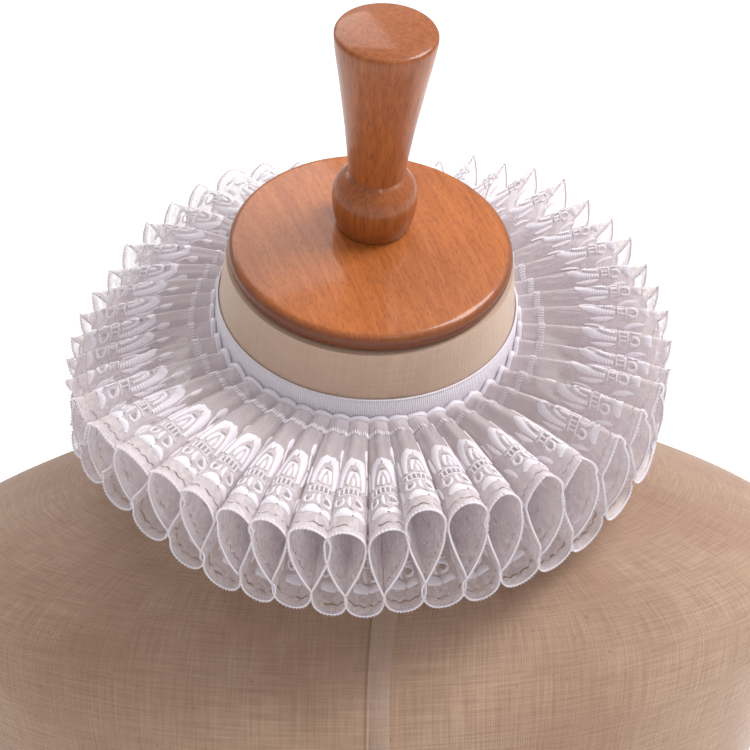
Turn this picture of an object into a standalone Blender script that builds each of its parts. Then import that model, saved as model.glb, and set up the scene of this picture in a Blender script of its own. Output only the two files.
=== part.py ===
"""Lace ruff collar on a limbless linen dress form with a turned wooden neck cap and handle.

Metres, +Z up. The form faces -Y and stands on z = 0.
"""

import math

import bpy
import numpy as np
from mathutils import Matrix, Vector

# Neck frame: its origin is the middle of the cap's rim, its Z runs up the neck
CAP_CENTRE = Vector((0.006, 0.0, 0.360))
NECK_TILT = 16.5  # degrees, the neck comes forward
NECK_LEAN = 4.0  # degrees, the neck stands a little to +X

# Neck and collar, measured down the neck from the cap's rim
SEAM_GAP = 0.0003
CAP_RADIUS = 0.0568
CAP_THICKNESS = 0.008
CAP_DOME = 0.004
NECK_TOP_RADIUS = 0.0576
BAND_TOP = 0.029
BAND_WIDTH = 0.028
BAND_THICKNESS = 0.001
BAND_TOP_RADIUS = 0.0603  # linen under the band's top edge
BAND_FOOT_RADIUS = 0.0614  # linen under the band's lower edge
BAND_OPENING = 4.0  # degrees between the band's ends at the centre back

# Lace frill
LACE_THICKNESS = 0.001
LACE_WIDTH = 0.066
CREST_SHORT = 0.0035  # a crest arches, so it reaches this much less far than a trough
HEADING_BELOW_BAND_TOP = 0.008  # where the flutes' crests meet the band
HEADING_HEIGHT = 0.017  # from crest to trough at the band
FLUTE_COUNT = 46
FLUTE_BULGE = 0.0044  # how far a crest swells over its trough at the edge
FLUTE_BOW = 0.0022  # how far a ridge arches halfway out
FRILL_GAP = 8.0  # degrees between the frill's ends at the back
FRILL_GAP_MIDDLE = 176.0  # degrees from the front, where the frill's opening falls
SCALLOP_DEPTH = 0.0032
POINTS_PER_FLUTE = 12
LACE_ROWS = 4

# How close the flutes stand, by place round the neck
FLUTE_SPACING = (
    # degrees from the front towards +X, degrees from crest to crest
    (-180.0, 7.6),
    (-90.0, 7.5),
    (-62.0, 9.0),
    (-45.0, 9.6),
    (-30.0, 7.0),
    (-10.0, 6.5),
    (10.0, 6.7),
    (30.0, 7.3),
    (45.0, 9.0),
    (85.0, 8.6),
    (100.0, 7.2),
    (150.0, 7.0),
    (180.0, 7.6),
)

# How far the ridges hang below the neck's plane: the frill tips down to -X
FLUTE_DROOP = (
    # degrees from the front towards +X, degrees that a crest hangs, and a trough
    (-180.0, 20.0, 42.0),
    (-165.0, 19.0, 40.0),
    (-151.0, 14.0, 38.0),
    (-128.0, 18.0, 42.0),
    (-108.0, 24.0, 44.0),
    (-90.0, 22.0, 40.0),
    (-76.0, 16.0, 32.0),
    (-61.0, 5.0, 18.0),
    (-45.0, -2.0, 8.0),
    (-33.0, -4.0, 19.0),
    (-18.0, -4.0, 28.0),
    (-3.0, -3.5, 26.0),
    (7.0, -6.0, 27.0),
    (14.0, -13.5, 21.0),
    (33.0, -15.5, 22.0),
    (48.0, -14.0, 22.0),
    (68.0, -12.0, 14.0),
    (84.0, -1.0, 18.0),
    (110.0, 0.0, 28.0),
    (140.0, -1.0, 34.0),
    (160.0, 6.0, 38.0),
    (171.0, 17.0, 41.0),
    (180.0, 20.0, 42.0),
)

# Turned handle, from its foot up
HANDLE_SET_BACK = 0.007
HANDLE_PROFILE = (
    # height, radius
    (0.0000, 0.0146),
    (0.0040, 0.0158),
    (0.0095, 0.0167),
    (0.0150, 0.0168),
    (0.0200, 0.0153),
    (0.0238, 0.0124),
    (0.0250, 0.0109),
    (0.0262, 0.0111),
    (0.0470, 0.0136),
    (0.0680, 0.0166),
    (0.0872, 0.0194),
    (0.0889, 0.0193),
    (0.0897, 0.0185),
    (0.0915, 0.0090),
)

SHOULDER_RISE = 2.2  # degrees, the shoulder at +X stands a little higher

# Torso sections from the flat foot up to the neck
TORSO_SECTIONS = (
    # height, half width, half depth, middle towards -Y
    (0.000, 0.139, 0.094, 0.017),
    (0.050, 0.150, 0.104, 0.021),
    (0.100, 0.165, 0.113, 0.023),
    (0.140, 0.174, 0.113, 0.017),
    (0.175, 0.184, 0.108, 0.009),
    (0.200, 0.193, 0.102, 0.004),
    (0.215, 0.194, 0.093, -0.002),
    (0.228, 0.174, 0.083, -0.008),
    (0.243, 0.133, 0.073, -0.015),
    (0.258, 0.096, 0.067, -0.019),
)
# Neck sections, square to the neck: distance below the cap's rim, radius
NECK_SECTIONS = (
    (0.085, 0.0690),
    (0.070, 0.0634),
)

FORM_SIDES = 48


def neck_matrix():
    lean = Matrix.Rotation(math.radians(NECK_LEAN), 4, "Y")
    tilt = Matrix.Rotation(math.radians(NECK_TILT), 4, "X")
    return Matrix.Translation(CAP_CENTRE) @ lean @ tilt


NECK = neck_matrix()


def in_neck_frame(radius, angle, height):
    """World point at this radius and height, and this many radians from the front towards +X."""
    return NECK @ Vector((radius * math.sin(angle), -radius * math.cos(angle), height))


def linen_radius(below):
    """Radius of the linen neck this far below the cap's rim."""
    rows = (
        (CAP_THICKNESS + SEAM_GAP, NECK_TOP_RADIUS),
        (BAND_TOP, BAND_TOP_RADIUS),
        (BAND_TOP + BAND_WIDTH, BAND_FOOT_RADIUS),
    )
    return float(np.interp(below, [row[0] for row in rows], [row[1] for row in rows]))


def material(name, colour, roughness, metallic=0.0):
    made = bpy.data.materials.new(name)
    made.use_nodes = True
    shader = made.node_tree.nodes["Principled BSDF"]
    shader.inputs["Base Color"].default_value = (*colour, 1.0)
    shader.inputs["Roughness"].default_value = roughness
    shader.inputs["Metallic"].default_value = metallic
    return made


def add_object(name, mesh, finish, collection):
    made = bpy.data.objects.new(name, mesh)
    made.data.materials.append(finish)
    collection.objects.link(made)
    return made


def sheet_mesh(name, rows):
    """Open grid of quads through rows of points."""
    columns = len(rows[0])
    points = [point for row in rows for point in row]
    faces = []
    for row in range(len(rows) - 1):
        for column in range(columns - 1):
            first = row * columns + column
            faces.append((first, first + 1, first + columns + 1, first + columns))
    mesh = bpy.data.meshes.new(name)
    mesh.from_pydata(points, [], faces)
    mesh.shade_smooth()
    return mesh


def loft_mesh(name, rings):
    """Closed body through rings of points, from the foot up, with a flat face at each end."""
    sides = len(rings[0])
    points = [point for ring in rings for point in ring]
    faces = [tuple(reversed(range(sides)))]
    for level in range(len(rings) - 1):
        for side in range(sides):
            following = (side + 1) % sides
            low = level * sides
            faces.append((low + side, low + following, low + sides + following, low + sides + side))
    faces.append(tuple(range((len(rings) - 1) * sides, len(rings) * sides)))
    mesh = bpy.data.meshes.new(name)
    mesh.from_pydata(points, [], faces)
    mesh.shade_smooth()
    mesh.set_sharp_from_angle(angle=math.radians(50))
    return mesh


def wall(obj, thickness, offset):
    """Gives an open sheet its thickness: offset 0 is centred, 1 grows along the normals."""
    solidify = obj.modifiers.new("wall", "SOLIDIFY")
    solidify.thickness = thickness
    solidify.offset = offset
    solidify.use_even_offset = True


def turned(name, profile, frame, sides, finish, collection):
    """Solid of revolution about the frame's Z, from a profile of (height, radius) from foot to top."""
    outline = [(0.0, 0.0, profile[-1][0])]
    outline += [(radius, 0.0, height) for height, radius in reversed(profile)]
    outline += [(0.0, 0.0, profile[0][0])]
    mesh = bpy.data.meshes.new(name)
    mesh.from_pydata(outline, [(i, i + 1) for i in range(len(outline) - 1)], [])
    made = add_object(name, mesh, finish, collection)
    made.matrix_world = frame
    screw = made.modifiers.new("turn", "SCREW")
    screw.steps = sides
    screw.render_steps = sides
    screw.use_merge_vertices = True
    screw.merge_threshold = 0.00001
    screw.use_smooth_shade = True
    return made


def form_rings():
    """Torso rings lie flat, neck rings lie square to the neck, and those between turn smoothly."""
    angles = [2 * math.pi * side / FORM_SIDES for side in range(FORM_SIDES)]
    rings = []
    for height, half_width, half_depth, forward in TORSO_SECTIONS:
        rise = math.tan(math.radians(SHOULDER_RISE)) * min(1.0, height / 0.2)
        ring = []
        for a in angles:
            x = half_width * math.sin(a)
            ring.append(Vector((x, -forward - half_depth * math.cos(a), height + rise * x)))
        rings.append(ring)
    for below, radius in NECK_SECTIONS:
        rings.append([in_neck_frame(radius, a, -below) for a in angles])
    for below in (BAND_TOP + BAND_WIDTH, BAND_TOP, CAP_THICKNESS + SEAM_GAP):
        rings.append([in_neck_frame(linen_radius(below), a, -below) for a in angles])
    return rings


def smoothed(rings, first, last, steps):
    """Catmull-Rom rings between the given ones, from ring first to ring last."""
    made = list(rings[:first])
    for level in range(first, last):
        before = rings[max(level - 1, 0)]
        after = rings[min(level + 2, len(rings) - 1)]
        for step in range(steps):
            t = step / steps
            ring = []
            for p0, p1, p2, p3 in zip(before, rings[level], rings[level + 1], after):
                bend = (p2 - p0) * t + (2 * p0 - 5 * p1 + 4 * p2 - p3) * t**2
                bend += (3 * p1 - p0 - 3 * p2 + p3) * t**3
                ring.append(p1 + bend / 2)
            made.append(ring)
    return made + list(rings[last:])


def make_form_body(collection):
    rings = smoothed(form_rings(), 0, len(TORSO_SECTIONS) + len(NECK_SECTIONS), 2)
    linen = material("linen", (0.46, 0.33, 0.23), 0.85)
    return add_object("form_body", loft_mesh("form_body", rings), linen, collection)


def make_neck_cap(collection):
    edge = 0.003
    profile = (
        (-CAP_THICKNESS, CAP_RADIUS - edge / 2),
        (-CAP_THICKNESS + edge / 2, CAP_RADIUS - edge / 8),
        (-edge, CAP_RADIUS),
        (-edge / 3, CAP_RADIUS - edge / 3),
        (0.0, CAP_RADIUS - edge),
        (0.6 * CAP_DOME, 0.62 * CAP_RADIUS),
        (CAP_DOME, 0.30 * CAP_RADIUS),
    )
    beech = material("varnished_beech", (0.47, 0.19, 0.06), 0.25)
    return turned("neck_cap", profile, NECK, FORM_SIDES, beech, collection)


def make_handle(collection):
    foot = NECK @ Matrix.Translation((0.0, HANDLE_SET_BACK, CAP_DOME + SEAM_GAP))
    beech = material("varnished_beech_handle", (0.40, 0.15, 0.05), 0.25)
    return turned("handle", HANDLE_PROFILE, foot, 28, beech, collection)


def make_neckband(collection):
    half_opening = math.radians(BAND_OPENING) / 2
    start = -math.pi + half_opening
    sweep = 2 * math.pi - 2 * half_opening
    angles = [start + sweep * side / FORM_SIDES for side in range(FORM_SIDES + 1)]
    rows = []
    for below in (BAND_TOP + BAND_WIDTH, BAND_TOP):
        # clear of the flat facets of the linen's rings as well as of their corners
        inner = linen_radius(below) + SEAM_GAP
        rows.append([in_neck_frame(inner, angle, -below) for angle in angles])
    ribbon = material("grosgrain_ribbon", (0.86, 0.84, 0.90), 0.55)
    made = add_object("neckband", sheet_mesh("neckband", rows), ribbon, collection)
    wall(made, BAND_THICKNESS, 1.0)
    return made


def flute_angles(count):
    """Angle from the front at count + 1 even steps along the frill, closer where the flutes are."""
    end = FRILL_GAP_MIDDLE - FRILL_GAP / 2
    fine = np.linspace(end + FRILL_GAP - 360.0, end, 721)
    spacing = np.interp(fine, [row[0] for row in FLUTE_SPACING], [row[1] for row in FLUTE_SPACING])
    steps = np.diff(fine) * (1 / spacing[1:] + 1 / spacing[:-1]) / 2
    flutes_so_far = np.concatenate([[0.0], np.cumsum(steps)])
    wanted = np.linspace(0.0, flutes_so_far[-1], count + 1)
    return np.radians(np.interp(wanted, flutes_so_far, fine))


def unevenness(flute, amount):
    """Slow wander from flute to flute, as hand-set pleats have."""
    return amount * (math.sin(1.9 * flute + 0.7) + 0.6 * math.sin(4.3 * flute + 2.1)) / 1.6


def flute_droop(angle):
    """Degrees that a crest and a trough hang at this place round the neck."""
    places = [row[0] for row in FLUTE_DROOP]
    degrees = math.degrees(angle)
    crest = np.interp(degrees, places, [row[1] for row in FLUTE_DROOP])
    return crest, np.interp(degrees, places, [row[2] for row in FLUTE_DROOP])


def scallop(phase):
    """1 at the middle of each scallop, 0 where two meet: four scallops to a flute."""
    place = (phase / (2 * math.pi) * 4 + 0.5) % 1.0
    return math.sqrt(max(0.0, 1 - (2 * place - 1) ** 2))


def lace_point(flute, angle, across):
    """World point of the lace: flute counts flutes along the frill, across runs from band to edge."""
    phase = 2 * math.pi * flute + math.pi
    down = (1 - math.cos(phase)) / 2
    crest, trough = flute_droop(angle)
    trough += unevenness(flute, 2.0)
    droop = math.radians(crest + (trough - crest) * down + unevenness(flute + 3.3, 1.2))
    width = LACE_WIDTH - CREST_SHORT * (1 - down)
    notch = SCALLOP_DEPTH * (1 - scallop(phase)) if across > 0.5 else 0.0
    out = across * (width - notch)
    seam = BAND_TOP + HEADING_BELOW_BAND_TOP + HEADING_HEIGHT * down
    band_face = linen_radius(seam) + SEAM_GAP + BAND_THICKNESS
    radius = band_face + SEAM_GAP + LACE_THICKNESS / 2 + out * math.cos(droop)
    height = FLUTE_BOW * math.sin(math.pi * across) * (1 - down) - seam - out * math.sin(droop)
    swell = FLUTE_BULGE * across**0.7 * (1 + unevenness(flute + 1.1, 0.12))
    return in_neck_frame(radius, angle + swell * math.sin(2 * phase) / radius, height)


def make_lace_frill(collection):
    columns = FLUTE_COUNT * POINTS_PER_FLUTE
    angles = flute_angles(columns)
    rows = []
    for row in range(LACE_ROWS):
        across = row / (LACE_ROWS - 1)
        rows.append(
            [
                lace_point(column / POINTS_PER_FLUTE, angles[column], across)
                for column in range(columns + 1)
            ]
        )
    lace = material("white_lace", (0.80, 0.77, 0.82), 0.6)
    made = add_object("lace_frill", sheet_mesh("lace_frill", rows), lace, collection)
    wall(made, LACE_THICKNESS, 0.0)
    return made


def wire(name, points, radius, finish, collection):
    curve = bpy.data.curves.new(name, "CURVE")
    curve.dimensions = "3D"
    curve.bevel_depth = radius
    curve.bevel_resolution = 1
    curve.use_fill_caps = True
    spline = curve.splines.new("POLY")
    spline.points.add(len(points) - 1)
    for made, place in zip(spline.points, points):
        made.co = (*place, 1.0)
    made = bpy.data.objects.new(name, curve)
    made.data.materials.append(finish)
    collection.objects.link(made)
    return made


def make_fastening(collection):
    """Hook on one end of the band and eye on the other, at the centre back above the frill."""
    wire_radius = 0.0004
    below = BAND_TOP + 0.0045
    face = linen_radius(below) + SEAM_GAP + BAND_THICKNESS + SEAM_GAP + wire_radius
    lift = 2 * wire_radius + SEAM_GAP
    metal = material("enamelled_wire", (0.80, 0.80, 0.82), 0.35, 1.0)

    def at_back(across, up, out):
        angle = math.pi + across / face
        return in_neck_frame(face + out, angle, up - below)

    eye_half = 0.0019
    eye_reach = 0.0012
    eye = [
        at_back(-0.0065, eye_half, 0.0),
        at_back(-0.0030, eye_half, 0.0),
        at_back(-0.0006, eye_half, lift),
        at_back(eye_reach, eye_half * 0.8, lift),
        at_back(eye_reach, -eye_half * 0.8, lift),
        at_back(-0.0006, -eye_half, lift),
        at_back(-0.0030, -eye_half, 0.0),
        at_back(-0.0065, -eye_half, 0.0),
    ]
    hook = [
        at_back(0.0075, 0.0, 0.0),
        at_back(0.0010, 0.0, 0.0),
        at_back(-0.0002, 0.0, 0.3 * lift),
        at_back(-0.0006, 0.0, lift),
        at_back(-0.0002, 0.0, 1.7 * lift),
        at_back(0.0010, 0.0, 2.0 * lift),
        at_back(0.0034, 0.0, 1.9 * lift),
    ]
    wire("eye", eye, wire_radius, metal, collection)
    wire("hook", hook, wire_radius, metal, collection)


def main():
    for obj in list(bpy.data.objects):
        bpy.data.objects.remove(obj, do_unlink=True)
    collection = bpy.data.collections.new("ruff_collar_on_dress_form")
    bpy.context.scene.collection.children.link(collection)
    make_form_body(collection)
    make_neck_cap(collection)
    make_handle(collection)
    make_neckband(collection)
    make_lace_frill(collection)
    make_fastening(collection)


main()
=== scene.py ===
"""Lace ruff collar on a linen dress form: cloth, lace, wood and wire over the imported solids."""

import math

import bpy
import numpy as np
from mathutils import Matrix, Vector


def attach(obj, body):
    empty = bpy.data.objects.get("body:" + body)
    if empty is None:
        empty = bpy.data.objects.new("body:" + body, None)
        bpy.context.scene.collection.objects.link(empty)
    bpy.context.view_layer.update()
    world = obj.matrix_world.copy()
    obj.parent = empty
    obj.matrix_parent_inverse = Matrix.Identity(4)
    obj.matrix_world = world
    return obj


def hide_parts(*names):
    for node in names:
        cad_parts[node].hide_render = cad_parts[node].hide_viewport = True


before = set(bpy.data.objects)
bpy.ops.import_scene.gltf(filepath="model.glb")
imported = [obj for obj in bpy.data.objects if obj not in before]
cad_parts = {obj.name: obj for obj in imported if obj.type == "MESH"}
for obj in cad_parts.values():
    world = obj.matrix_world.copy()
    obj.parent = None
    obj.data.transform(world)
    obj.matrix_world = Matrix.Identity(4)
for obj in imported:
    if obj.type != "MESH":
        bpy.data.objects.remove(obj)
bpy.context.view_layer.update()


# ---------------------------------------------------------------- dress form
# A hard foam torso and neck under natural linen, pulled tight and glued. The cover is cut
# in two halves, joined down the centre front and the centre back, the seam pressed to one side.

NECK_TILT, NECK_LEAN = 16.5, 4.0  # degrees, forward and to +X
CAP_CENTRE = Vector((0.006, 0.0, 0.360))
NECK = (
    Matrix.Translation(CAP_CENTRE)
    @ Matrix.Rotation(math.radians(NECK_LEAN), 4, "Y")
    @ Matrix.Rotation(math.radians(NECK_TILT), 4, "X")
)
NECK_TURN = np.array(NECK.to_3x3())
SEAM_GAP = 0.0003
CAP_THICKNESS = 0.008
# distance below the cap's rim, radius of the linen, square to the neck
NECK_LINEN = ((0.0083, 0.0576), (0.029, 0.0603), (0.057, 0.0614), (0.070, 0.0634), (0.085, 0.0690))
SHOULDER_RISE, SHOULDER_HEIGHT = 2.2, 0.2  # degrees, and metres up: +X stands higher
TORSO_SECTIONS = (
    # height, half width, half depth, middle towards -Y
    (0.000, 0.139, 0.094, 0.017),
    (0.050, 0.150, 0.104, 0.021),
    (0.100, 0.165, 0.113, 0.023),
    (0.140, 0.174, 0.113, 0.017),
    (0.175, 0.184, 0.108, 0.009),
    (0.200, 0.193, 0.102, 0.004),
    (0.215, 0.194, 0.093, -0.002),
    (0.228, 0.174, 0.083, -0.008),
    (0.243, 0.133, 0.073, -0.015),
    (0.258, 0.096, 0.067, -0.019),
)
SEAM_SIDE = 0.009  # the cover sits twisted, so its front seam lies to +X of the middle
SEAM_ALLOWANCE = 0.0115  # pressed to +X of the seam, under the cover
ALLOWANCE_LIFT = 0.0004
SEAM_LINE = 0.0006  # half the width of the dark line that the seam shows
TORSO_TOP, NECK_FOOT = 0.255, 0.285  # the torso's cover gives way to the neck's between them
FORM_SIDES = 144
FORM_STEPS = 6


def srgb(hex_colour):
    """Linear colour with alpha from an sRGB hex value."""
    parts = [int(hex_colour[i : i + 2], 16) / 255 for i in (0, 2, 4)]
    linear = [c / 12.92 if c <= 0.04045 else ((c + 0.055) / 1.055) ** 2.4 for c in parts]
    return (*linear, 1.0)


def put(tree, kind, sockets=None, **settings):
    """Adds a shader node: settings are its properties, sockets its values or what feeds them."""
    made = tree.nodes.new("ShaderNode" + kind)
    for name, value in settings.items():
        setattr(made, name, value)
    for name, value in (sockets or {}).items():
        if isinstance(value, bpy.types.NodeSocket):
            tree.links.new(value, made.inputs[name])
        else:
            made.inputs[name].default_value = value
    return made


def maths(tree, operation, *values, clamp=False):
    """What a math node gives for these sockets or numbers."""
    made = put(tree, "Math", dict(enumerate(values)), operation=operation, use_clamp=clamp)
    return made.outputs[0]


def ramp(tree, value, low, high, to_low=0.0, to_high=1.0):
    """The value as it goes from low to high, spread over another range and kept within it."""
    spread = {"From Min": low, "From Max": high, "To Min": to_low, "To Max": to_high}
    return put(tree, "MapRange", {"Value": value, **spread}).outputs[0]


def mixed(tree, share, under, over, **settings):
    """This share of one colour over another."""
    colours = {"Color1": under, "Color2": over}
    return put(tree, "MixRGB", {"Fac": share, **colours}, **settings).outputs[0]


def new_material(name):
    made = bpy.data.materials.new(name)
    made.use_nodes = True
    return made, made.node_tree, made.node_tree.nodes["Principled BSDF"]


def in_neck(radius, angle, height):
    """World points from neck radius, radians from the front towards +X, and height."""
    local = np.stack([radius * np.sin(angle), -radius * np.cos(angle), height + 0 * angle], -1)
    return local @ NECK_TURN.T + np.array(CAP_CENTRE)


def lay_uv(mesh, name, uv):
    """Adds a UV layer, from one pair for each vertex."""
    corners = np.empty(len(mesh.loops), dtype=np.int32)
    mesh.loops.foreach_get("vertex_index", corners)
    mesh.uv_layers.new(name=name).data.foreach_set("uv", uv.reshape(-1, 2)[corners].ravel())


def mesh_object(name, points, faces, finish, uv=None):
    """Smooth mesh in the scene, with its UVs in metres of cloth."""
    mesh = bpy.data.meshes.new(name)
    mesh.from_pydata(points.reshape(-1, 3).tolist(), [], faces)
    mesh.shade_smooth()
    if uv is not None:
        lay_uv(mesh, "cloth", uv)
    made = bpy.data.objects.new(name, mesh)
    made.data.materials.append(finish)
    bpy.context.collection.objects.link(made)
    return made


def grid_object(name, points, finish, uv=None, closed=False, capped=False):
    """Mesh through a grid of points, rows by columns."""
    rows, columns = points.shape[:2]
    index = np.arange(rows * columns).reshape(rows, columns)
    wrapped = np.hstack([index, index[:, :1]]) if closed else index
    quads = np.stack([wrapped[:-1, :-1], wrapped[:-1, 1:], wrapped[1:, 1:], wrapped[1:, :-1]], -1)
    faces = quads.reshape(-1, 4).tolist()
    if capped:
        faces += [index[0, ::-1].tolist(), index[-1].tolist()]
    return mesh_object(name, points, faces, finish, uv)


def smooth_curve(before, start, end, after, t):
    """Place at share t from start to end on a Catmull-Rom curve."""
    bend = (end - before) * t + (2 * before - 5 * start + 4 * end - after) * t**2
    bend += (3 * start - before - 3 * end + after) * t**3
    return start + bend / 2


# Natural linen in plain weave: threads of uneven thickness give slubs both ways, brown nubs
# and a dry, matt face. Its 0.5 mm threads are drawn 0.8 mm apart, since finer ones don't show.
linen, tree, shader = new_material("woven_linen")
LINEN_THREAD = 0.0008
ONE_BAND = 0.314  # a wave texture at this scale shows one band to a metre
cloth = put(tree, "UVMap", uv_map="cloth").outputs[0]
wander = put(tree, "TexNoise", {"Vector": cloth, "Scale": 60.0, "Detail": 2.0}).outputs["Color"]
bent = put(tree, "VectorMath", {0: wander, 3: 0.0009}, operation="SCALE").outputs[0]
bent = put(tree, "VectorMath", {0: cloth, 1: bent}, operation="ADD").outputs[0]
warp = put(tree, "TexWave", {"Vector": bent, "Scale": ONE_BAND / LINEN_THREAD, "Distortion": 0.8},
           wave_type="BANDS", bands_direction="X").outputs["Fac"]
weft = put(tree, "TexWave", {"Vector": bent, "Scale": ONE_BAND / LINEN_THREAD, "Distortion": 0.8},
           wave_type="BANDS", bands_direction="Y").outputs["Fac"]
weave = maths(tree, "MULTIPLY", warp, weft)
along = put(tree, "Mapping", {"Vector": cloth, "Scale": (45.0, 1100.0, 1.0)}).outputs[0]
slub_across = put(tree, "TexNoise", {"Vector": along, "Scale": 1.0, "Detail": 3.0}).outputs["Fac"]
upward = put(tree, "Mapping", {"Vector": cloth, "Scale": (1100.0, 45.0, 1.0)}).outputs[0]
slub_up = put(tree, "TexNoise", {"Vector": upward, "Scale": 1.0, "Detail": 3.0}).outputs["Fac"]
slub = maths(tree, "ADD", slub_across, slub_up)
slub = ramp(tree, slub, 0.7, 1.3)
yarn = mixed(tree, slub, srgb("9F806C"), srgb("BC9D87"))
patchy = put(tree, "TexNoise", {"Vector": cloth, "Scale": 16.0, "Detail": 4.0}).outputs["Fac"]
patchy = ramp(tree, patchy, 0.42, 0.7, 0.0, 0.5)
yarn = mixed(tree, patchy, yarn, srgb("94705A"))
nubs = put(tree, "TexNoise", {"Vector": cloth, "Scale": 420.0, "Detail": 1.0}).outputs["Fac"]
nubs = ramp(tree, nubs, 0.70, 0.78, 0.0, 0.35)
yarn = mixed(tree, nubs, yarn, srgb("7C5236"))
gaps = ramp(tree, weave, 0.0, 0.6, 0.88, 1.0)
yarn = mixed(tree, 1.0, yarn, gaps, blend_type="MULTIPLY")
# The front seam is a dark line, and its allowance a paler band with a soft edge.
side = put(tree, "SeparateXYZ", {0: cloth}).outputs[0]
side = maths(tree, "SUBTRACT", side, SEAM_SIDE)
height = put(tree, "SeparateXYZ", {0: put(tree, "TexCoord").outputs["Object"]}).outputs[2]
torso = ramp(tree, height, NECK_FOOT, TORSO_TOP)
seam = maths(tree, "COMPARE", side, 0.0, SEAM_LINE)
seam = maths(tree, "MULTIPLY", seam, torso)
seam = maths(tree, "MULTIPLY", seam, 0.35)
yarn = mixed(tree, seam, yarn, srgb("5A3B2A"))
middle = maths(tree, "COMPARE", side, SEAM_ALLOWANCE / 2, SEAM_ALLOWANCE / 2 - 0.0004)
middle = maths(tree, "MULTIPLY", middle, torso)
middle = maths(tree, "MULTIPLY", middle, 0.24)
yarn = mixed(tree, middle, yarn, srgb("C9B4A8"))
# The neck's linen is painted paler than the torso's: painted light, for the light that the white
# lace bounces up onto it.
neck_bounce_light = ramp(tree, torso, 0.0, 1.0, 0.42, 0.0)
yarn = mixed(tree, neck_bounce_light, yarn, srgb("E0C4AF"))
depth = maths(tree, "ADD", weave, slub)
bump = put(tree, "Bump", {"Height": depth, "Strength": 0.35, "Distance": 0.0003}).outputs[0]
tree.links.new(yarn, shader.inputs["Base Color"])
tree.links.new(bump, shader.inputs["Normal"])
shader.inputs["Roughness"].default_value = 0.9
shader.inputs["Sheen Weight"].default_value = 0.35
shader.inputs["Specular IOR Level"].default_value = 0.2


def form_stations(half_width):
    """Angles round a ring from the front, with close ones at the seam and its allowance."""
    steps = (-0.0008, 0.0, 0.0008, SEAM_ALLOWANCE - 0.0006, SEAM_ALLOWANCE, SEAM_ALLOWANCE + 0.001)
    front = np.arcsin((SEAM_SIDE + np.array(steps)) / half_width)
    left = np.linspace(-np.pi + 0.004, -0.24, FORM_SIDES // 2)
    right = np.linspace(0.44, np.pi - 0.0001, FORM_SIDES // 2)
    towards = np.linspace(left[-1], front[0], 6)[1:-1]
    away = np.linspace(front[-1], right[0], 6)[1:-1]
    return np.concatenate([left, towards, front, away, right])


def form_ring(half_width, half_depth, forward, height, rise):
    a = form_stations(half_width)
    x = half_width * np.sin(a)
    in_front = np.cos(a) > 0
    beyond = x - SEAM_SIDE
    on_allowance = in_front & (beyond > 0.0004) & (beyond < SEAM_ALLOWANCE - 0.0002)
    lift = np.where(on_allowance, ALLOWANCE_LIFT, 0.0)
    lift = np.where(in_front & (np.abs(beyond) < 0.0004), -ALLOWANCE_LIFT, lift)
    return np.stack([x, -forward - (half_depth + lift) * np.cos(a), height + rise * x], -1)


MEAN_WIDTH, BACK_WIDTH, TORSO_CLOTH_TOP = 0.16, 0.17, 0.262
FRONT_REACH = 0.5  # radians from the centre front

rings = []
for height, half_width, half_depth, forward in TORSO_SECTIONS:
    rise = math.tan(math.radians(SHOULDER_RISE)) * min(1.0, height / SHOULDER_HEIGHT)
    rings.append(form_ring(half_width, half_depth, forward, height, rise))
for below, radius in reversed(NECK_LINEN):
    rings.append(in_neck(radius, form_stations(radius), -below))
rounded = []
for level in range(len(rings) - 1):
    p0, p1 = rings[max(level - 1, 0)], rings[level]
    p2, p3 = rings[level + 1], rings[min(level + 2, len(rings) - 1)]
    for step in range(FORM_STEPS):
        t = step / FORM_STEPS
        straight = level >= len(rings) - 3
        rounded.append(p1 + (p2 - p1) * t if straight else smooth_curve(p0, p1, p2, p3, t))
rounded = np.array([*rounded, rings[-1]])
up_the_form = np.linalg.norm(np.diff(rounded, axis=0), axis=2).mean(axis=1)
form_uv = np.zeros((*rounded.shape[:2], 2))
# The cloth's width follows each ring's own in front, so the seam lies straight, and one mean
# width round the sides and back of the torso, so the threads don't swirl there.
round_form = form_stations(MEAN_WIDTH)[None, :]
own_width = rounded[..., 0].max(axis=1, keepdims=True)
on_torso = rounded[..., 2].mean(axis=1, keepdims=True) < TORSO_CLOTH_TOP
cloth_width = np.where(on_torso, BACK_WIDTH, own_width)
in_front = np.exp(-((round_form / FRONT_REACH) ** 2))
form_uv[..., 0] = round_form * cloth_width
form_uv[..., 0] += round_form * (own_width - cloth_width) * in_front
form_uv[..., 1] = np.concatenate([[0.0], np.cumsum(up_the_form)])[:, None]
form = grid_object("form_cover", rounded, linen, form_uv, closed=True, capped=True)
form.data.set_sharp_from_angle(angle=math.radians(60))
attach(form, "root")
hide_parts("form_body")


# ---------------------------------------------------------------- neck cap and handle
# Two beech turnings, stained orange-brown and varnished. The cap's disc is screwed down on
# the neck, with its dome slightly raised, and the handle's ball foot stands on the disc.

CAP_RADIUS, CAP_DOME, CAP_EDGE = 0.0568, 0.004, 0.0040
CAP_FOOT = ((0.0, 0.0026), (0.0009, 0.0012), (0.0020, 0.0003))  # up from its foot, in from its rim
HANDLE_SET_BACK = 0.007
HANDLE_SHAPE = (
    # height, radius
    (0.0000, 0.0146),
    (0.0040, 0.0158),
    (0.0095, 0.0167),
    (0.0150, 0.0168),
    (0.0200, 0.0153),
    (0.0238, 0.0124),
    (0.0250, 0.0109),
    (0.0262, 0.0111),
    (0.0470, 0.0136),
    (0.0680, 0.0166),
    (0.0872, 0.0194),
)
HANDLE_RIM = ((0.0885, 0.0194), (0.0893, 0.0190), (0.0898, 0.0180), (0.0908, 0.0110), (0.0914, 0.0))
WOOD_SIDES = 144


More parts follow.
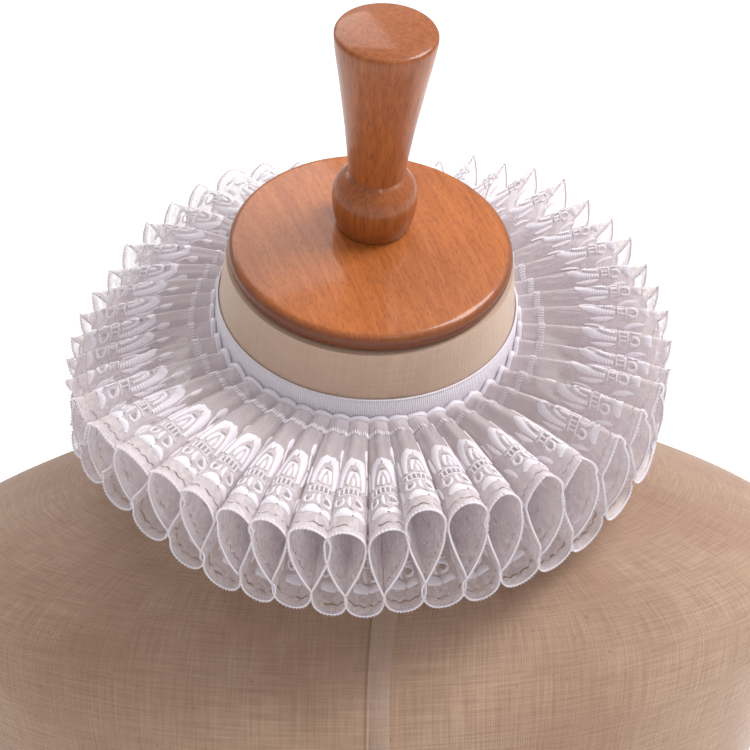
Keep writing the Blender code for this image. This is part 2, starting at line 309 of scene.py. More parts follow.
def turned(name, profile, place, finish):
    """Solid of revolution about its own Z, from a profile of height and radius, foot to top."""
    around = np.linspace(0, 2 * np.pi, WOOD_SIDES, endpoint=False)
    rows = [
        np.stack([r * np.sin(around), -r * np.cos(around), h + 0 * around], -1)
        for h, r in profile
        if r > 0.00001
    ]
    made = grid_object(name, np.array(rows), finish, closed=True, capped=True)
    made.data.set_sharp_from_angle(angle=math.radians(40))
    made.matrix_world = place
    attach(made, "root")
    return made


def varnished_beech(name, light, middle, dark, grain, rim):
    """Stained beech: long streaks, short dark rays, and brown at the rim, partly stain gathered
    there and partly painted shade where the rounded rim turns from the light.

    Gloss varnish over it gives small sharp highlights.
    """
    made, tree, shader = new_material(name)
    place = put(tree, "TexCoord").outputs["Object"]
    turn, stretch, flecks = grain
    spun = put(tree, "Mapping", {"Vector": place, "Rotation": (0.0, 0.0, turn)}).outputs[0]
    long = put(tree, "Mapping", {"Vector": spun, "Scale": stretch}).outputs[0]
    streak = put(tree, "TexNoise", {"Vector": long, "Scale": 1.0, "Detail": 5.0,
                                    "Distortion": 0.4}).outputs["Fac"]
    streak = ramp(tree, streak, 0.25, 0.75)
    short = put(tree, "Mapping", {"Vector": spun, "Scale": flecks}).outputs[0]
    ray = put(tree, "TexNoise", {"Vector": short, "Scale": 1.0, "Detail": 2.0}).outputs["Fac"]
    ray = ramp(tree, ray, 0.50, 0.70)
    cloudy = put(tree, "TexNoise", {"Vector": place, "Scale": 22.0, "Detail": 2.0}).outputs["Fac"]
    cloudy = ramp(tree, cloudy, 0.3, 0.7)
    wood = mixed(tree, streak, srgb(middle), srgb(light))
    shade = maths(tree, "MULTIPLY", ray, 0.40)
    wood = mixed(tree, shade, wood, srgb(dark))
    shade = maths(tree, "MULTIPLY", cloudy, 0.22)
    wood = mixed(tree, shade, wood, srgb(dark))
    parts = put(tree, "SeparateXYZ", {0: place})
    flat = put(tree, "CombineXYZ", {0: parts.outputs[0], 1: parts.outputs[1]}).outputs[0]
    radius = put(tree, "VectorMath", {0: flat}, operation="LENGTH").outputs["Value"]
    # Painted shade: darker brown towards the rim, where the rounded rim turns from the light, with
    # some stain gathered there too.
    rim_shade_and_stain = ramp(tree, radius, rim - 0.0032, rim, 0.0, 0.85)
    wood = mixed(tree, rim_shade_and_stain, wood, srgb(dark))
    tree.links.new(wood, shader.inputs["Base Color"])
    bump = put(tree, "Bump", {"Height": ray, "Strength": 0.08, "Distance": 0.0003}).outputs[0]
    tree.links.new(bump, shader.inputs["Normal"])
    shader.inputs["Roughness"].default_value = 0.45
    shader.inputs["Specular IOR Level"].default_value = 0.3
    shader.inputs["Coat Weight"].default_value = 0.4
    shader.inputs["Coat Roughness"].default_value = 0.1
    return made


flat_grain = (math.radians(67), (24.0, 480.0, 480.0), (330.0, 1500.0, 1200.0))
cap_wood = varnished_beech("varnished_beech_disc", "BC6D35", "A1541E", "5A2810", flat_grain,
                           CAP_RADIUS)
rim_turn = np.linspace(0, np.pi / 2, 7)
top_radius = CAP_RADIUS - CAP_EDGE
cap_profile = [(-CAP_THICKNESS + up, CAP_RADIUS - inward) for up, inward in CAP_FOOT]
cap_profile += [
    (-CAP_EDGE + CAP_EDGE * math.sin(t), top_radius + CAP_EDGE * math.cos(t)) for t in rim_turn
]
cap_profile += [
    (CAP_DOME * (1 - (r / top_radius) ** 2), r) for r in np.linspace(top_radius, 0.0, 16)[1:-1]
]
cap = turned("neck_disc", cap_profile, NECK, cap_wood)
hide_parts("neck_cap")

upright_grain = (0.0, (420.0, 420.0, 22.0), (1200.0, 1200.0, 130.0))
NO_RIM = 1.0  # so far out that nothing on the handle lies near it
handle_wood = varnished_beech("varnished_beech_handle", "A65D2A", "8B4518", "54240D", upright_grain,
                              NO_RIM)
heights, radii = zip(*HANDLE_SHAPE)
handle_profile = []
for level in range(len(heights) - 1):
    for t in (0.0, 0.25, 0.5, 0.75):
        sharp = 5 <= level <= 7
        r0, r3 = radii[max(level - 1, 0)], radii[min(level + 2, len(radii) - 1)]
        r1, r2 = radii[level], radii[level + 1]
        radius = r1 + (r2 - r1) * t if sharp else smooth_curve(r0, r1, r2, r3, t)
        handle_profile.append((heights[level] + (heights[level + 1] - heights[level]) * t, radius))
handle_profile += [HANDLE_SHAPE[-1], *HANDLE_RIM]
foot = NECK @ Matrix.Translation((0.0, HANDLE_SET_BACK, CAP_DOME + SEAM_GAP))
handle = turned("turned_handle", handle_profile, foot, handle_wood)
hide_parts("handle")


# ---------------------------------------------------------------- neckband
# White grosgrain ribbon, 28 mm wide, round the neck. Its weft cords stand across it as fine
# upright ribs, and its top selvedge is a thin bright line.

BAND_TOP, BAND_WIDTH, BAND_THICKNESS = 0.029, 0.028, 0.001
BAND_OPENING = math.radians(4.0)
BAND_RADIUS = 0.0612  # at the middle of its width
RIB_PITCH = 0.00085
SELVEDGE_RADIUS = 0.0005


def from_table(table, at, place=1):
    """A table's column where its first one has this value, straight between the rows."""
    return np.interp(at, [row[0] for row in table], [row[place] for row in table])


def linen_radius(below):
    return from_table(NECK_LINEN, below)


# Grosgrain of filament polyester: a soft sheen along the ribs, lavender-white in shade.
ribbon, tree, shader = new_material("white_grosgrain")
cloth = put(tree, "UVMap", uv_map="cloth").outputs[0]
rib = put(tree, "TexWave", {"Vector": cloth, "Scale": ONE_BAND / RIB_PITCH}, wave_type="BANDS",
          bands_direction="X").outputs["Fac"]
shade = mixed(tree, rib, srgb("D9D0DA"), srgb("F0EAF2"))
bump = put(tree, "Bump", {"Height": rib, "Strength": 0.6, "Distance": 0.0004}).outputs[0]
tree.links.new(shade, shader.inputs["Base Color"])
tree.links.new(bump, shader.inputs["Normal"])
shader.inputs["Roughness"].default_value = 0.5
shader.inputs["Sheen Weight"].default_value = 0.2

band_angles = np.linspace(-np.pi + BAND_OPENING / 2, np.pi - BAND_OPENING / 2, 289)
inside, outside = SEAM_GAP + 0.0001, SEAM_GAP + 0.0009
wrap = [(BAND_TOP + BAND_WIDTH, inside)]
wrap += [(BAND_TOP + BAND_WIDTH * step, outside) for step in (0.99, 0.75, 0.5, 0.25, 0.02)]
wrap += [(BAND_TOP, inside)]
band_rows = np.array([in_neck(linen_radius(d) + off, band_angles, -d) for d, off in wrap])
band_uv = np.zeros((*band_rows.shape[:2], 2))
band_uv[..., 0] = BAND_RADIUS * band_angles
band_uv[..., 1] = np.array([row[0] for row in wrap])[:, None]
band = grid_object("ribbon_neckband", band_rows, ribbon, band_uv)
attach(band, "root")
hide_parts("neckband")


def run_along(path):
    """Metres from the start of a path to each of its points."""
    return np.concatenate([[0.0], np.cumsum(np.linalg.norm(np.diff(path, axis=0), axis=1))])


def tube_object(name, path, radius, finish, sides=6, closed=False):
    """Round tube along a path of points, its radius one value or one for each point."""
    ahead = np.roll(path, -1, 0) - np.roll(path, 1, 0)
    if not closed:
        ahead[0], ahead[-1] = path[1] - path[0], path[-1] - path[-2]
    ahead /= np.linalg.norm(ahead, axis=1, keepdims=True)
    outward = path - np.array(CAP_CENTRE)
    side = np.cross(ahead, outward)
    side /= np.linalg.norm(side, axis=1, keepdims=True)
    lift = np.cross(side, ahead)
    around = np.linspace(0, 2 * np.pi, sides, endpoint=False)
    size = (np.zeros(len(path)) + radius)[:, None, None]
    ring = np.cos(around)[:, None] * side[:, None] + np.sin(around)[:, None] * lift[:, None]
    points = path[:, None] + size * ring
    uv = np.zeros((*points.shape[:2], 2))
    uv[..., 0] = run_along(path)[:, None]
    uv[..., 1] = radius * around if np.isscalar(radius) else radius[:, None] * around
    made = grid_object(name, points, finish, uv, closed=True, capped=True)
    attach(made, "root")
    return made


selvedge_radius = linen_radius(BAND_TOP) + SELVEDGE_RADIUS + 0.0002
selvedge_path = in_neck(selvedge_radius, band_angles, -BAND_TOP + 0.0001)
selvedge = tube_object("ribbon_selvedge", selvedge_path, SELVEDGE_RADIUS, ribbon)


# ---------------------------------------------------------------- hook and eye
# Round wire bent to a hook and a loop and dipped in white enamel, sewn to the ribbon's ends.

enamel, tree, shader = new_material("white_enamelled_wire")
worn = put(tree, "TexNoise", {"Scale": 900.0, "Detail": 3.0}).outputs["Fac"]
worn = ramp(tree, worn, 0.62, 0.72)
tone = mixed(tree, worn, srgb("E9E6EA"), srgb("9C9CA2"))
tree.links.new(tone, shader.inputs["Base Color"])
shader.inputs["Roughness"].default_value = 0.3
for node_name in ("hook", "eye"):
    for slot_place in bpy.data.objects[node_name].material_slots:
        slot_place.material = enamel


# ---------------------------------------------------------------- lace frill
# One strip of scalloped white lace, 66 mm wide, set in even organ-pipe flutes and sewn to
# the ribbon by its straight edge. Net, with satin-stitch flowers and a corded border.

LACE_WIDTH, CREST_SHORT = 0.066, 0.0035
HEADING_BELOW, HEADING_HEIGHT = 0.008, 0.017
FLUTE_COUNT = 46
FLUTE_SWELL = 0.39  # share of a flute's width that its pipe swells to each side
FLUTE_BOW = 0.0022
GATHERS, GATHER_DEPTH, GATHER_REACH = 11, 0.0008, 0.6  # small ones, drawn up at the seam
FRILL_GAP, FRILL_GAP_MIDDLE = 8.0, 176.0  # degrees
SCALLOP_DEPTH = 0.0032
SCALLOPS = 4  # to a flute: one on the crest, one on each wall, one in the trough
FLUTE_SPACING = (
    # degrees from the front towards +X, degrees from crest to crest
    (-180.0, 7.6),
    (-90.0, 7.5),
    (-62.0, 9.0),
    (-45.0, 9.6),
    (-30.0, 7.0),
    (-10.0, 6.5),
    (10.0, 6.7),
    (30.0, 7.3),
    (45.0, 9.0),
    (85.0, 8.6),
    (100.0, 7.2),
    (150.0, 7.0),
    (180.0, 7.6),
)
FLUTE_DROOP = (
    # degrees from the front towards +X, degrees that a crest hangs, and a trough
    (-180.0, 20.0, 42.0),
    (-165.0, 19.0, 40.0),
    (-151.0, 14.0, 38.0),
    (-128.0, 18.0, 42.0),
    (-108.0, 24.0, 44.0),
    (-90.0, 22.0, 40.0),
    (-76.0, 16.0, 32.0),
    (-61.0, 5.0, 18.0),
    (-45.0, -2.0, 8.0),
    (-33.0, -4.0, 19.0),
    (-18.0, -4.0, 28.0),
    (-3.0, -3.5, 26.0),
    (7.0, -6.0, 27.0),
    (14.0, -13.5, 21.0),
    (33.0, -15.5, 22.0),
    (48.0, -14.0, 22.0),
    (68.0, -12.0, 14.0),
    (84.0, -1.0, 18.0),
    (110.0, 0.0, 28.0),
    (140.0, -1.0, 34.0),
    (160.0, 6.0, 38.0),
    (171.0, 17.0, 41.0),
    (180.0, 20.0, 42.0),
)
FLUTE_FOLD = (
    # degrees from the front towards +X, how sharp the crest is: 0 a round pipe, 1 a fold
    (-180.0, 0.50),
    (-158.0, 0.35),
    (-147.0, 0.10),
    (-136.0, 0.40),
    (-115.0, 0.55),
    (-75.0, 0.80),
    (-55.0, 0.45),
    (-40.0, 0.05),
    (20.0, 0.00),
    (38.0, 0.25),
    (55.0, 0.55),
    (85.0, 0.80),
    (150.0, 0.85),
    (180.0, 0.70),
)
CREST_LEAN, UNEVEN_LEAN = -0.0026, 0.0012  # metres along the frill, at the edge
CREASES = (
    # flutes from the frill's end, half width in flutes, depth, from and to across the lace
    (3.18, 0.035, -0.0011, 0.20, 0.80),
    (7.71, 0.030, 0.0009, 0.10, 0.60),
    (12.25, 0.040, -0.0012, 0.25, 0.90),
    (16.80, 0.030, 0.0010, 0.05, 0.55),
    (19.24, 0.035, -0.0012, 0.30, 0.95),
    (21.72, 0.030, 0.0011, 0.10, 0.70),
    (22.30, 0.040, -0.0010, 0.35, 0.95),
    (24.27, 0.030, 0.0012, 0.15, 0.75),
    (25.76, 0.035, -0.0012, 0.20, 0.85),
    (28.22, 0.035, 0.0010, 0.10, 0.60),
    (31.70, 0.040, -0.0013, 0.25, 0.90),
    (35.30, 0.030, 0.0010, 0.15, 0.65),
    (39.75, 0.035, -0.0011, 0.20, 0.80),
    (43.22, 0.030, 0.0010, 0.10, 0.70),
)


frill_end = FRILL_GAP_MIDDLE - FRILL_GAP / 2
fine = np.linspace(frill_end + FRILL_GAP - 360.0, frill_end, 721)
per_degree = 1 / from_table(FLUTE_SPACING, fine)
flutes_so_far = np.cumsum(np.diff(fine) * (per_degree[1:] + per_degree[:-1]) / 2)
flutes_so_far = np.concatenate([[0.0], flutes_so_far])
flutes_so_far *= FLUTE_COUNT / flutes_so_far[-1]


def unevenness(flute, amount):
    """Slow wander from flute to flute, as hand-set pleats have."""
    return amount * (np.sin(1.9 * flute + 0.7) + 0.6 * np.sin(4.3 * flute + 2.1)) / 1.6


def lace_surface(flute, across):
    """World points of the lace: flutes along the frill, and 0 at the band to 1 at the edge."""
    angle = np.radians(np.interp(flute, flutes_so_far, fine))
    phase = 2 * np.pi * flute + np.pi
    degrees = np.degrees(angle)
    fold = from_table(FLUTE_FOLD, degrees)
    from_crest = np.abs(2 * (flute - np.floor(flute)) - 1)
    down = (1 - fold) * (1 - np.cos(phase)) / 2 + fold * np.sin(np.pi / 2 * from_crest)
    crest = from_table(FLUTE_DROOP, degrees, 1)
    trough = from_table(FLUTE_DROOP, degrees, 2)
    trough = trough + unevenness(flute, 2.0)
    droop = np.radians(crest + (trough - crest) * down + unevenness(flute + 3.3, 1.2))
    out = across * (LACE_WIDTH - CREST_SHORT * (1 - down))
    seam = BAND_TOP + HEADING_BELOW + HEADING_HEIGHT * down
    radius = linen_radius(seam) + 2 * SEAM_GAP + BAND_THICKNESS + 0.0005 + out * np.cos(droop)
    arch = np.clip(across, 0.0, 1.0)
    gather = np.sin(np.pi * np.clip(arch / GATHER_REACH, 0.0, 1.0))
    gather = gather * np.sin(2 * np.pi * GATHERS * flute)
    radius = radius + GATHER_DEPTH * gather * down
    height = FLUTE_BOW * np.sin(np.pi * arch) * (1 - down) - seam - out * np.sin(droop)
    height = height + GATHER_DEPTH * gather * (1 - down)
    pitch = np.radians(from_table(FLUTE_SPACING, degrees))
    swell = FLUTE_SWELL * pitch * (1 + unevenness(flute + 1.1, 0.06))
    swell = swell * (1 - 0.8 * fold * (1 - down))
    lean = arch * (CREST_LEAN * (1 - down) + unevenness(1.7 * flute + 5.0, UNEVEN_LEAN))
    return in_neck(radius, angle + swell * np.sin(2 * phase) + lean / radius, height)


def measure_strip():
    """Along the foot of the scallops: flutes, the same in shares of strip, metres, lengths."""
    flute = np.linspace(0, FLUTE_COUNT, FLUTE_COUNT * 200 + 1)
    edge = lace_surface(flute, 1 - SCALLOP_DEPTH / LACE_WIDTH + 0 * flute)
    run = run_along(edge)
    number = np.minimum(np.arange(len(run)) // 200, FLUTE_COUNT - 1)
    lengths = np.diff(run[::200])
    return flute, number + (run - run[::200][number]) / lengths[number], run, lengths


FLUTES, TURNS, STRIP, FLUTE_LENGTHS = measure_strip()


def strip_per_turn(turn):
    """Metres of strip in the flute at each place."""
    return FLUTE_LENGTHS[np.clip(np.floor(turn).astype(int), 0, FLUTE_COUNT - 1)]


def on_lace(turn, across, lift=0.0):
    """World points at this many flutes' worth of strip from the frill's end, lifted off it."""
    flute = np.interp(turn, TURNS, FLUTES)
    here = lace_surface(flute, across)
    along = lace_surface(flute + 0.002, across) - lace_surface(flute - 0.002, across)
    outward = lace_surface(flute, across + 0.004) - lace_surface(flute, across - 0.004)
    normal = np.cross(outward, along)
    normal /= np.linalg.norm(normal, axis=-1, keepdims=True)
    lift = lift + 0.0 * turn
    for place, half_width, depth, start, end in CREASES:
        stretch = np.clip((across - start) / (end - start), 0.0, 1.0)
        beside = np.exp(-(((flute - place) / half_width) ** 2))
        lift = lift + depth * beside * np.sin(np.pi * stretch)
    return here + normal * lift[..., None]


def edge_share(turn):
    """Share of the lace's width that each scallop reaches."""
    place = (turn * SCALLOPS + 0.5) % 1.0
    arc = np.sqrt(np.clip(1 - (2 * place - 1) ** 2, 0.0, 1.0))
    return 1 - SCALLOP_DEPTH / LACE_WIDTH * (1 - arc)


NET_MESH = 0.0008
SLIT_IN, SLIT_HALF, RIPPLE_DEPTH, RIPPLES = 0.0037, 0.00035, 0.00035, 1500.0  # in the border
OPENWORK = (
    # mm: middle across the scallop, middle out from the band, half width and half height
    (0.7, 33.4, 1.7, 0.8),
    (0.2, 45.3, 5.4, 1.3),
    (-5.0, 50.3, 1.3, 1.3),
    (4.1, 50.7, 1.5, 1.3),
    (-0.6, 54.0, 3.4, 0.5),
)

# Fine net of white polyester, knitted on a hexagon mesh of about 0.8 mm. It is half open, so
# it looks grey-brown over linen and white over itself, and it is closer in the flowered half.
net, tree, shader = new_material("white_net")
cloth = put(tree, "UVMap", uv_map="cloth").outputs[0]
mesh_edge = put(tree, "TexVoronoi", {"Vector": cloth, "Scale": 1 / NET_MESH, "Randomness": 0.4},
                feature="DISTANCE_TO_EDGE", voronoi_dimensions="2D").outputs["Distance"]
thread = ramp(tree, mesh_edge, 0.02, 0.30, 1.0, 0.0)
parts = put(tree, "SeparateXYZ", {0: cloth})
out = parts.outputs[1]
flowered = ramp(tree, out, 0.026, 0.036, 0.0, 0.14)
swirl = put(tree, "TexNoise", {"Vector": cloth, "Scale": 260.0, "Detail": 1.0,
                               "Distortion": 1.2}).outputs["Fac"]
swirl = ramp(tree, swirl, 0.47, 0.56)
swirl = maths(tree, "MULTIPLY", swirl, flowered)
heading = ramp(tree, out, 0.009, 0.002, 0.0, 0.25)
cover = ramp(tree, thread, 0.0, 1.0, 0.32, 0.52)
for more in (flowered, swirl, heading):
    cover = maths(tree, "ADD", cover, more, clamp=True)
edge = put(tree, "SeparateXYZ", {0: put(tree, "UVMap", uv_map="edge").outputs[0]})
edge_in, beside = edge.outputs[0], edge.outputs[1]
# Openwork in the flowers is thin net.
for middle, height, half_width, half_height in OPENWORK:
    wide = maths(tree, "SUBTRACT", beside, middle / 1000)
    wide = maths(tree, "DIVIDE", wide, half_width / 1000)
    tall = maths(tree, "SUBTRACT", out, height / 1000)
    tall = maths(tree, "DIVIDE", tall, half_height / 1000)
    far = put(tree, "CombineXYZ", {0: wide, 1: tall}).outputs[0]
    far = put(tree, "VectorMath", {0: far}, operation="LENGTH").outputs["Value"]
    hole = ramp(tree, far, 1.1, 0.8, 0.0, 0.34)
    cover = maths(tree, "SUBTRACT", cover, hole, clamp=True)
# The scallops' border is closer, with a wavy, broken slit along its inside.
border = ramp(tree, edge_in, 0.0016, 0.0028, 0.12, 0.0)
cover = maths(tree, "ADD", cover, border, clamp=True)
ripple = maths(tree, "MULTIPLY", parts.outputs[0], RIPPLES)
ripple = maths(tree, "SINE", ripple)
ripple = maths(tree, "MULTIPLY_ADD", ripple, RIPPLE_DEPTH, SLIT_IN)
slit = maths(tree, "COMPARE", edge_in, ripple, SLIT_HALF)
broken = put(tree, "TexNoise", {"Vector": cloth, "Scale": 330.0}).outputs["Fac"]
broken = ramp(tree, broken, 0.42, 0.52, 0.1, 0.65)
slit = maths(tree, "MULTIPLY", slit, broken)
cover = maths(tree, "SUBTRACT", cover, slit, clamp=True)
tone = mixed(tree, thread, srgb("CBBEC1"), srgb("E4D9DC"))
bump = put(tree, "Bump", {"Height": thread, "Strength": 0.2, "Distance": 0.0002}).outputs[0]
tree.links.new(tone, shader.inputs["Base Color"])
tree.links.new(cover, shader.inputs["Alpha"])
tree.links.new(bump, shader.inputs["Normal"])
shader.inputs["Roughness"].default_value = 0.6
shader.inputs["Sheen Weight"].default_value = 0.2
# Painted light: a faint glow in the net stands in for the light let through from behind.
shader.inputs["Emission Color"].default_value = srgb("F3E8E8")  # light let through from behind
shader.inputs["Emission Strength"].default_value = 0.035

LACE_COLUMNS, LACE_ROWS = 56, 20  # columns to a flute
turns = np.linspace(0, FLUTE_COUNT, FLUTE_COUNT * LACE_COLUMNS + 1)
rows = np.linspace(0, 1, LACE_ROWS)
turn_grid, row_grid = np.meshgrid(turns, rows)
reach = edge_share(turn_grid)
across_grid = row_grid * (1 - (1 - reach) * row_grid)
frill_points = on_lace(turn_grid, across_grid)
frill_uv = np.stack([np.interp(turn_grid, TURNS, STRIP), across_grid * LACE_WIDTH], -1)
frill = grid_object("lace_strip", frill_points, net, frill_uv)
# A second layer says how far each place is from the scallops' edge, and from a scallop's middle.
in_scallop = ((turn_grid * SCALLOPS + 0.5) % 1.0 - 0.5) / SCALLOPS * strip_per_turn(turn_grid)
lay_uv(frill.data, "edge", np.stack([(reach - across_grid) * LACE_WIDTH, in_scallop], -1))
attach(frill, "root")
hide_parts("lace_frill")


# ---------------------------------------------------------------- embroidery and edgings
# Satin stitch in bright rayon raised on the net, a flower in each scallop, a row of upright
# bars near the band, a plump braid along the sewn edge and a cord round the scallops.

FLOWER = (
    # start, bend and end in mm (across the scallop, out from the band), half width at each
    (-5.0, 42.5, -5.4, 27.0, 0.6, 28.6, 0.9, 2.0, 2.1),
    (6.4, 43.5, 6.6, 27.0, 0.6, 28.6, 0.9, 2.2, 2.1),
    (-1.9, 41.5, -1.6, 34.2, 0.7, 35.2, 0.5, 1.0, 1.0),
    (3.3, 42.0, 3.0, 34.2, 0.7, 35.2, 0.5, 1.0, 1.0),
    (0.7, 37.6, 0.9, 40.0, 0.6, 42.6, 0.3, 0.9, 0.4),
    (7.3, 19.8, 7.7, 23.0, 7.4, 26.2, 0.6, 1.6, 0.5),
    (7.4, 26.2, 7.6, 29.5, 9.4, 33.0, 0.4, 0.5, 0.3),
    (-8.6, 31.5, -9.3, 36.5, -7.4, 42.0, 0.3, 1.3, 0.3),
    (9.6, 34.0, 10.9, 38.0, 9.0, 43.0, 0.3, 1.3, 0.3),
    (-6.6, 43.7, 0.3, 43.1, 7.0, 44.2, 0.3, 0.35, 0.3),
    (-6.2, 47.3, 0.3, 46.7, 6.6, 47.8, 0.3, 0.35, 0.3),
    (-5.0, 44.0, -5.0, 45.4, -4.9, 46.9, 0.4, 0.4, 0.4),
    (-2.9, 43.8, -2.9, 45.2, -2.8, 46.7, 0.4, 0.4, 0.4),
    (-0.8, 43.8, -0.8, 45.2, -0.7, 46.6, 0.4, 0.4, 0.4),
    (1.3, 43.8, 1.3, 45.2, 1.4, 46.7, 0.4, 0.4, 0.4),
    (3.4, 44.0, 3.4, 45.4, 3.5, 47.0, 0.4, 0.4, 0.4),
    (-5.4, 48.3, -7.4, 50.2, -4.9, 52.3, 0.4, 0.8, 0.4),
    (-4.9, 52.3, -1.6, 51.8, -2.6, 48.8, 0.4, 0.7, 0.3),
    (0.2, 48.0, -0.7, 50.6, 0.9, 53.2, 0.4, 0.9, 0.3),
    (2.4, 48.6, 5.6, 48.6, 6.4, 51.2, 0.4, 0.9, 0.4),
    (6.4, 51.2, 6.2, 53.2, 2.6, 52.6, 0.4, 0.8, 0.3),
    (-5.6, 57.0, -1.9, 54.2, 1.9, 56.9, 0.8, 2.1, 0.9),
    (2.2, 57.0, 5.2, 54.6, 8.8, 57.4, 0.7, 1.5, 0.5),
    (-12.4, 46.5, -9.8, 50.0, -9.3, 55.5, 0.3, 1.2, 0.4),
    (11.9, 46.5, 9.9, 50.0, 11.6, 54.5, 0.3, 1.2, 0.4),
    (-12.6, 29.0, -12.0, 33.5, -13.3, 38.0, 0.3, 0.9, 0.3),
)
SATIN_LIFT, SATIN_LINES = 0.0004, 0.0007
STROKE_STEPS = 7
BAR_PITCH, BAR_OUT, BAR_HALF = 0.0015, 0.0100, 0.0013
BRAID_RADIUS, CORD_RADIUS = 0.0011, 0.00040
PICOT_PITCH = 0.0014
BRAID_OUT, PLUMP, PLUMP_PITCH = 0.006, 0.18, 0.0026

# Satin stitch in rayon: bright where threads lie square to the light, with fine thread lines.
satin, tree, shader = new_material("white_satin_stitch")
stitch = put(tree, "UVMap", uv_map="cloth").outputs[0]
lines = put(tree, "TexWave", {"Vector": stitch, "Scale": ONE_BAND / SATIN_LINES, "Distortion": 0.5},
            wave_type="BANDS", bands_direction="Y").outputs["Fac"]
tone = mixed(tree, lines, srgb("C9C0C8"), srgb("E9E3E9"))
bump = put(tree, "Bump", {"Height": lines, "Strength": 0.5, "Distance": 0.0002}).outputs[0]
tree.links.new(tone, shader.inputs["Base Color"])
tree.links.new(bump, shader.inputs["Normal"])
shader.inputs["Roughness"].default_value = 0.45
shader.inputs["Specular IOR Level"].default_value = 0.6
# Painted light: a faint glow brightens the satin, standing in for the light let through from
# behind.
shader.inputs["Emission Color"].default_value = srgb("F3EEF3")  # light let through from behind
shader.inputs["Emission Strength"].default_value = 0.07


def satin_strokes(name, turn, strokes, steps, out=0.0):
    """Domed bands of satin stitch on the lace: one for each place and row of a table in mm."""
    t = np.linspace(0, 1, steps)[None, :, None]
    start, bend, end = strokes[:, None, 0:2], strokes[:, None, 2:4], strokes[:, None, 4:6]
    spine = (1 - t) ** 2 * start + 2 * t * (1 - t) * bend + t**2 * end
    ahead = 2 * (1 - t) * (bend - start) + 2 * t * (end - bend)
    ahead /= np.linalg.norm(ahead, axis=-1, keepdims=True)
    beside = np.stack([ahead[..., 1], -ahead[..., 0]], -1)
    w0, w1, w2 = strokes[:, 6:7], strokes[:, 7:8], strokes[:, 8:9]
    s = t[..., 0]
    half = (1 - s) ** 2 * w0 + 2 * s * (1 - s) * (2 * w1 - (w0 + w2) / 2) + s**2 * w2
    run = s * np.linalg.norm(end - start, axis=-1)
    share, rise = np.array([-1.0, -0.45, 0.45, 1.0]), np.array([0.1, 1.0, 1.0, 0.1])
    flat = spine[:, :, None] + beside[:, :, None] * (half[..., None] * share)[..., None]
    flat = flat / 1000
    per_metre = 1 / strip_per_turn(turn)[:, None, None, None]
    place = turn[:, None, None, None] + flat[None, ..., 0] * per_metre
    place = np.clip(place, 0.0, FLUTE_COUNT)
    out = (out + 0 * turn)[:, None, None, None]
    across = np.broadcast_to((out + flat[None, ..., 1]) / LACE_WIDTH, place.shape)
    points = on_lace(place, across, SATIN_LIFT * rise)
    run = np.broadcast_to(run[..., None], flat.shape[:3])
    uv = np.broadcast_to(np.stack([half[..., None] * share, run], -1) / 1000, (*place.shape, 2))
    index = np.arange(place.size).reshape(-1, steps, 4)
    left, right = index[..., :-1], index[..., 1:]
    quads = np.stack([left[:, :-1], right[:, :-1], right[:, 1:], left[:, 1:]], -1)
    made = mesh_object(name, points, quads.reshape(-1, 4).tolist(), satin, uv)
    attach(made, "root")
    return made


scallop_turns = np.arange(1, FLUTE_COUNT * SCALLOPS) / SCALLOPS
flowers = satin_strokes("lace_flowers", scallop_turns, np.array(FLOWER), STROKE_STEPS)
bar_foot, bar_middle, bar_top = (1000 * (BAR_OUT + step * BAR_HALF) for step in (-1, 0, 1))
bar = (0.0, bar_foot, 0.0, bar_middle, 0.0, bar_top, 0.35, 0.5, 0.35)
bar_turns = np.interp(np.arange(0.5 * BAR_PITCH, STRIP[-1], BAR_PITCH), STRIP, TURNS)
bars = satin_strokes("lace_bars", bar_turns, np.array([bar]), 3)

picot_turns = np.interp(np.arange(0.5 * PICOT_PITCH, STRIP[-1], PICOT_PITCH), STRIP, TURNS)
picot = (0.0, -0.5, 0.25, 0.2, 0.0, 0.85, 0.30, 0.30, 0.18)
picot_out = edge_share(picot_turns) * LACE_WIDTH
picots = satin_strokes("edge_picots", picot_turns, np.array([picot]), 3, picot_out)
cord_turns = np.linspace(0, FLUTE_COUNT, FLUTE_COUNT * 48)
cord = tube_object("scallop_cord", on_lace(cord_turns, edge_share(cord_turns)), CORD_RADIUS, satin)
braid_turns = np.linspace(0, FLUTE_COUNT, FLUTE_COUNT * 36)
plump = np.sin(np.interp(braid_turns, TURNS, STRIP) / PLUMP_PITCH * 2 * np.pi)
braid_path = on_lace(braid_turns, BRAID_OUT + 0 * braid_turns, SEAM_GAP)
braid = tube_object("heading_braid", braid_path, BRAID_RADIUS * (1 + PLUMP * plump), satin)


# ---------------------------------------------------------------- floor, light and camera
# A plain pale floor, a soft light from the upper right and even light from all round. Three
# weaker lights stand in front, to the left and behind.

floor_size = 30.0
sides = np.linspace(-floor_size, floor_size, 3)
floor_points = np.stack([*np.meshgrid(sides, sides), np.zeros((3, 3))], -1)
paper, tree, shader = new_material("pale_floor")
shader.inputs["Base Color"].default_value = srgb("F7F6F5")
shader.inputs["Roughness"].default_value = 0.9
shader.inputs["Emission Color"].default_value = srgb("FFFFFF")
shader.inputs["Emission Strength"].default_value = 0.28
floor = grid_object("floor", floor_points, paper)

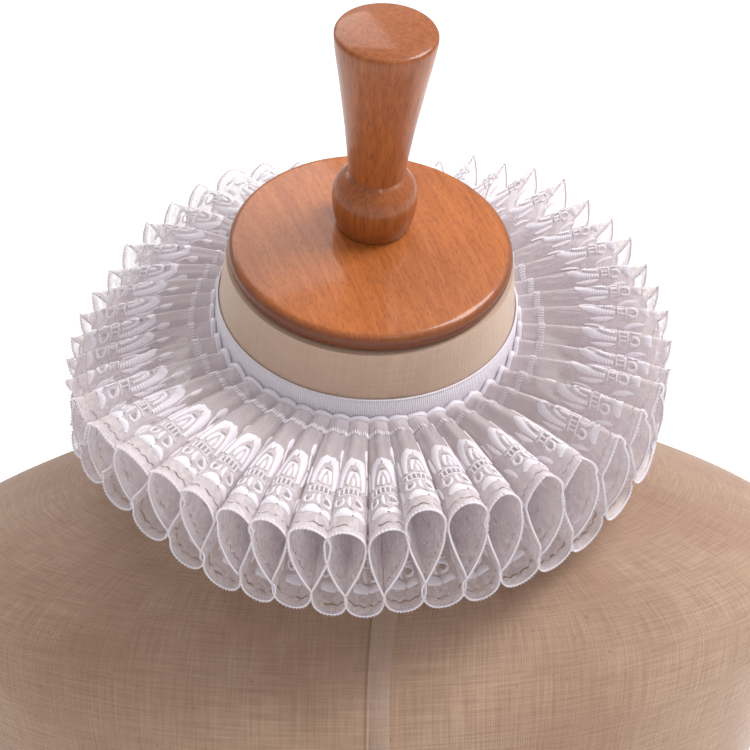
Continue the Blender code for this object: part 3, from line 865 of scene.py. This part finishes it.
world = bpy.data.worlds.new("studio")
bpy.context.scene.world = world
world.use_nodes = True
world.node_tree.nodes["Background"].inputs["Color"].default_value = srgb("FFFFFF")
world.node_tree.nodes["Background"].inputs["Strength"].default_value = 0.55


COLLAR = Vector((0.0, 0.0, 0.3))


def soft_light(name, azimuth, elevation, distance, size, power):
    """Square area light that faces the collar, placed by degrees from the front towards +X."""
    lamp = bpy.data.lights.new(name, "AREA")
    lamp.size = size
    lamp.energy = power
    made = bpy.data.objects.new(name, lamp)
    bpy.context.collection.objects.link(made)
    a, e = math.radians(azimuth), math.radians(elevation)
    way = Vector((math.sin(a) * math.cos(e), -math.cos(a) * math.cos(e), math.sin(e)))
    made.location = COLLAR + way * distance
    made.rotation_euler = way.to_track_quat("Z", "Y").to_euler()


soft_light("key", 92, 54, 1.7, 0.8, 29.0)
soft_light("left", -125, 38, 1.6, 0.5, 2.5)
soft_light("front", 24, 46, 1.8, 0.3, 1.2)
soft_light("back", -155, 54, 2.2, 1.3, 15.0)

# The camera of the photograph: the sizes of the neck cap, ribbon and handle fix its place.
ELEVATION, AZIMUTH, DISTANCE = math.radians(28.0), math.radians(2.0), 0.742
RIGHT_OF_CAP, ABOVE_CAP = -0.0014, 0.0535  # where the cap's middle lies from the view's middle
FOCAL_PIXELS, FRAME_PIXELS = 1870.0, 750.0
right = Vector((math.cos(AZIMUTH), math.sin(AZIMUTH), 0.0))
toward = Vector((math.sin(AZIMUTH) * math.cos(ELEVATION), -math.cos(AZIMUTH) * math.cos(ELEVATION),
                 math.sin(ELEVATION)))
up = toward.cross(right)
lens = bpy.data.cameras.new("camera")
lens.sensor_width = 36.0
lens.lens = lens.sensor_width * FOCAL_PIXELS / FRAME_PIXELS
camera = bpy.data.objects.new("camera", lens)
bpy.context.collection.objects.link(camera)
turn_to = Matrix((right, up, toward)).transposed().to_4x4()
camera.matrix_world = Matrix.Translation(
    CAP_CENTRE - RIGHT_OF_CAP * right - ABOVE_CAP * up + DISTANCE * toward
) @ turn_to
bpy.context.scene.camera = camera

bpy.context.scene.view_settings.view_transform = "Standard"
bpy.context.view_layer.update()
